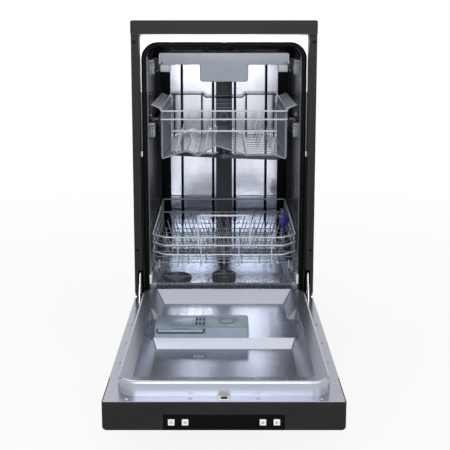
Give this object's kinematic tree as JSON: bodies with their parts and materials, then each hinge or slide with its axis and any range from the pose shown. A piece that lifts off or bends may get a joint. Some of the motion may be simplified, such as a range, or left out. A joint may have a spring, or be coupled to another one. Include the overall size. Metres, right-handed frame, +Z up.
{
  "type": "slimline dishwasher",
  "caption": "Slim free-standing dishwasher with a drop-down door, cutlery tray, folding racks on rails, spray arms, filter, dispenser and push buttons.",
  "frame": {"origin": "on the floor under the middle of the box that the machine fills with its door open", "axes": "+Z up, the open door towards -Y and the back towards +Y, +X to the right seen from the front"},
  "size_m": [0.448, 1.1846, 0.85],
  "materials": {
    "worktop_laminate": "satin",
    "cabinet_paint": "satin",
    "fascia_plastic": "satin",
    "window_plastic": "gloss",
    "button_plastic": "gloss",
    "board_plastic": "matte",
    "tub_steel": "brushed",
    "galvanised_steel": "satin",
    "gasket_rubber": "matte",
    "pale_plastic": "satin",
    "latch_plastic": "satin",
    "dispenser_plastic": "satin",
    "rack_plastic": "satin",
    "tray_plastic": "satin",
    "wire_coating": "satin",
    "dark_plastic": "satin",
    "clip_plastic": "satin",
    "base_plastic": "matte"
  },
  "bodies": {
    "cabinet": {"worktop": "worktop_laminate", "left_side_panel": "cabinet_paint", "right_side_panel": "cabinet_paint", "back_panel": "galvanised_steel", "base_tray": "base_plastic", "kickplate": "cabinet_paint", "feet": "base_plastic", "post_screws": "galvanised_steel", "tub_wrap": "tub_steel", "tub_back": "tub_steel", "tub_floor": "tub_steel", "tub_front_flange": "tub_steel", "door_gasket": "gasket_rubber", "corner_ramps": "pale_plastic", "latch_strike": "galvanised_steel", "hinge_brackets": "galvanised_steel", "balance_springs": "galvanised_steel", "sump": "base_plastic", "filter_plate": "tub_steel", "salt_tank": "pale_plastic", "feed_pipe": "dark_plastic", "circulation_pump": "dark_plastic", "drain_pump": "dark_plastic", "service_connections": "pale_plastic", "rail_guides": "rack_plastic"},
    "door": {"outer_door_panel": "cabinet_paint", "inner_door_panel": "tub_steel", "control_panel": "fascia_plastic", "display_window": "window_plastic", "control_board": "board_plastic", "dispenser_body": "dispenser_plastic", "door_latch": "latch_plastic", "door_screws": "galvanised_steel", "hinge_arms": "galvanised_steel"},
    "cutlery_tray": {"cutlery_tray": "rack_plastic", "cutlery_tray_front": "tray_plastic"},
    "upper_basket": {"upper_basket": "wire_coating", "basket_side_plates": "rack_plastic", "spray_feed_tube": "dark_plastic"},
    "lower_basket": {"lower_basket": "wire_coating", "tine_clip": "clip_plastic"},
    "left_outer_button": {"left_outer_button": "button_plastic"},
    "left_inner_button": {"left_inner_button": "button_plastic"},
    "right_inner_button": {"right_inner_button": "button_plastic"},
    "right_outer_button": {"right_outer_button": "button_plastic"},
    "dispenser_lid": {"dispenser_lid": "dispenser_plastic"},
    "rinse_aid_cap": {"rinse_aid_cap": "dispenser_plastic"},
    "filter_cup": {"filter_cup": "dark_plastic"},
    "salt_cap": {"salt_cap": "dark_plastic"},
    "lower_spray_arm": {"lower_spray_arm": "dark_plastic"},
    "upper_spray_arm": {"upper_spray_arm": "dark_plastic"},
    "tray_rails": {"tray_rails": "galvanised_steel"},
    "basket_rails": {"basket_rails": "galvanised_steel"},
    "left_cup_shelf": {"left_cup_shelf": "rack_plastic"},
    "right_cup_shelf": {"right_cup_shelf": "rack_plastic"},
    "front_left_wheel": {"front_left_wheel": "rack_plastic"},
    "rear_left_wheel": {"rear_left_wheel": "rack_plastic"},
    "front_right_wheel": {"front_right_wheel": "rack_plastic"},
    "rear_right_wheel": {"rear_right_wheel": "rack_plastic"},
    "folding_tines": {"folding_tines": "wire_coating"}
  },
  "joints": [
    {"name": "door_hinge", "type": "hinge", "parent": "cabinet", "child": "door", "pos_m": [0, 0.0523, 0.172], "axis": [-1, 0, 0], "range_deg": [0, 90]},
    {"name": "lower_basket_slide", "type": "slide", "parent": "cabinet", "child": "lower_basket", "axis": [0, 1, 0], "range_m": [-0.4, 0]},
    {"name": "upper_basket_slide", "type": "slide", "parent": "cabinet", "child": "upper_basket", "axis": [0, 1, 0], "range_m": [-0.36, 0]},
    {"name": "basket_rails_slide", "type": "slide", "parent": "cabinet", "child": "basket_rails", "axis": [0, 1, 0], "range_m": [-0.18, 0]},
    {"name": "cutlery_tray_slide", "type": "slide", "parent": "cabinet", "child": "cutlery_tray", "axis": [0, 1, 0], "range_m": [-0.36, 0]},
    {"name": "tray_rails_slide", "type": "slide", "parent": "cabinet", "child": "tray_rails", "axis": [0, 1, 0], "range_m": [-0.18, 0]},
    {"name": "lower_spray_spin", "type": "hinge", "parent": "cabinet", "child": "lower_spray_arm", "pos_m": [0, 0.3223, 0.205], "axis": [0, 0, 1], "continuous": true},
    {"name": "upper_spray_spin", "type": "hinge", "parent": "upper_basket", "child": "upper_spray_arm", "pos_m": [0, 0.3223, 0.478], "axis": [0, 0, 1], "continuous": true},
    {"name": "filter_twist", "type": "hinge", "parent": "cabinet", "child": "filter_cup", "pos_m": [0, 0.1573, 0.2], "axis": [0, 0, 1], "range_deg": [0, 60]},
    {"name": "salt_cap_twist", "type": "hinge", "parent": "cabinet", "child": "salt_cap", "pos_m": [-0.124, 0.1523, 0.19], "axis": [0, 0, 1], "range_deg": [0, 270]},
    {"name": "dispenser_lid_hinge", "type": "hinge", "parent": "door", "child": "dispenser_lid", "pos_m": [-0.0955, -0.1852, 0.188], "axis": [-1, 0, 0], "range_deg": [0, 95]},
    {"name": "rinse_cap_twist", "type": "hinge", "parent": "door", "child": "rinse_aid_cap", "pos_m": [0.007, -0.2237, 0.19], "axis": [0, 0, 1], "range_deg": [0, 90]},
    {"name": "left_shelf_fold", "type": "hinge", "parent": "upper_basket", "child": "left_cup_shelf", "pos_m": [-0.158, 0.2803, 0.6334], "axis": [0, 1, 0], "range_deg": [0, 110]},
    {"name": "right_shelf_fold", "type": "hinge", "parent": "upper_basket", "child": "right_cup_shelf", "pos_m": [0.158, 0.2803, 0.6334], "axis": [0, -1, 0], "range_deg": [0, 110]},
    {"name": "tines_fold", "type": "hinge", "parent": "lower_basket", "child": "folding_tines", "pos_m": [0, 0.3243, 0.2329], "axis": [-1, 0, 0], "range_deg": [0, 80]},
    {"name": "front_left_wheel_spin", "type": "hinge", "parent": "lower_basket", "child": "front_left_wheel", "pos_m": [-0.17775, 0.1623, 0.2063], "axis": [1, 0, 0], "range_deg": [-30, 1500]},
    {"name": "front_right_wheel_spin", "type": "hinge", "parent": "lower_basket", "child": "front_right_wheel", "pos_m": [0.17775, 0.1623, 0.2063], "axis": [1, 0, 0], "range_deg": [-30, 1500]},
    {"name": "rear_left_wheel_spin", "type": "hinge", "parent": "lower_basket", "child": "rear_left_wheel", "pos_m": [-0.17775, 0.4723, 0.2063], "axis": [1, 0, 0], "range_deg": [-30, 1500]},
    {"name": "rear_right_wheel_spin", "type": "hinge", "parent": "lower_basket", "child": "rear_right_wheel", "pos_m": [0.17775, 0.4723, 0.2063], "axis": [1, 0, 0], "range_deg": [-30, 1500]},
    {"name": "left_outer_press", "type": "slide", "parent": "door", "child": "left_outer_button", "axis": [0, 1, 0], "range_m": [0, 0.0015], "stiffness_N_per_m": 400},
    {"name": "left_inner_press", "type": "slide", "parent": "door", "child": "left_inner_button", "axis": [0, 1, 0], "range_m": [0, 0.0015], "stiffness_N_per_m": 400},
    {"name": "right_inner_press", "type": "slide", "parent": "door", "child": "right_inner_button", "axis": [0, 1, 0], "range_m": [0, 0.0015], "stiffness_N_per_m": 400},
    {"name": "right_outer_press", "type": "slide", "parent": "door", "child": "right_outer_button", "axis": [0, 1, 0], "range_m": [0, 0.0015], "stiffness_N_per_m": 400}
  ],
  "couplings": [
    {"joint": "basket_rails_slide", "follows": "upper_basket_slide", "ratio": 0.5},
    {"joint": "tray_rails_slide", "follows": "cutlery_tray_slide", "ratio": 0.5},
    {"joint": "front_left_wheel_spin", "follows": "lower_basket_slide", "rad_per_m": -62.5},
    {"joint": "front_right_wheel_spin", "follows": "lower_basket_slide", "rad_per_m": -62.5},
    {"joint": "rear_left_wheel_spin", "follows": "lower_basket_slide", "rad_per_m": -62.5},
    {"joint": "rear_right_wheel_spin", "follows": "lower_basket_slide", "rad_per_m": -62.5}
  ]
}
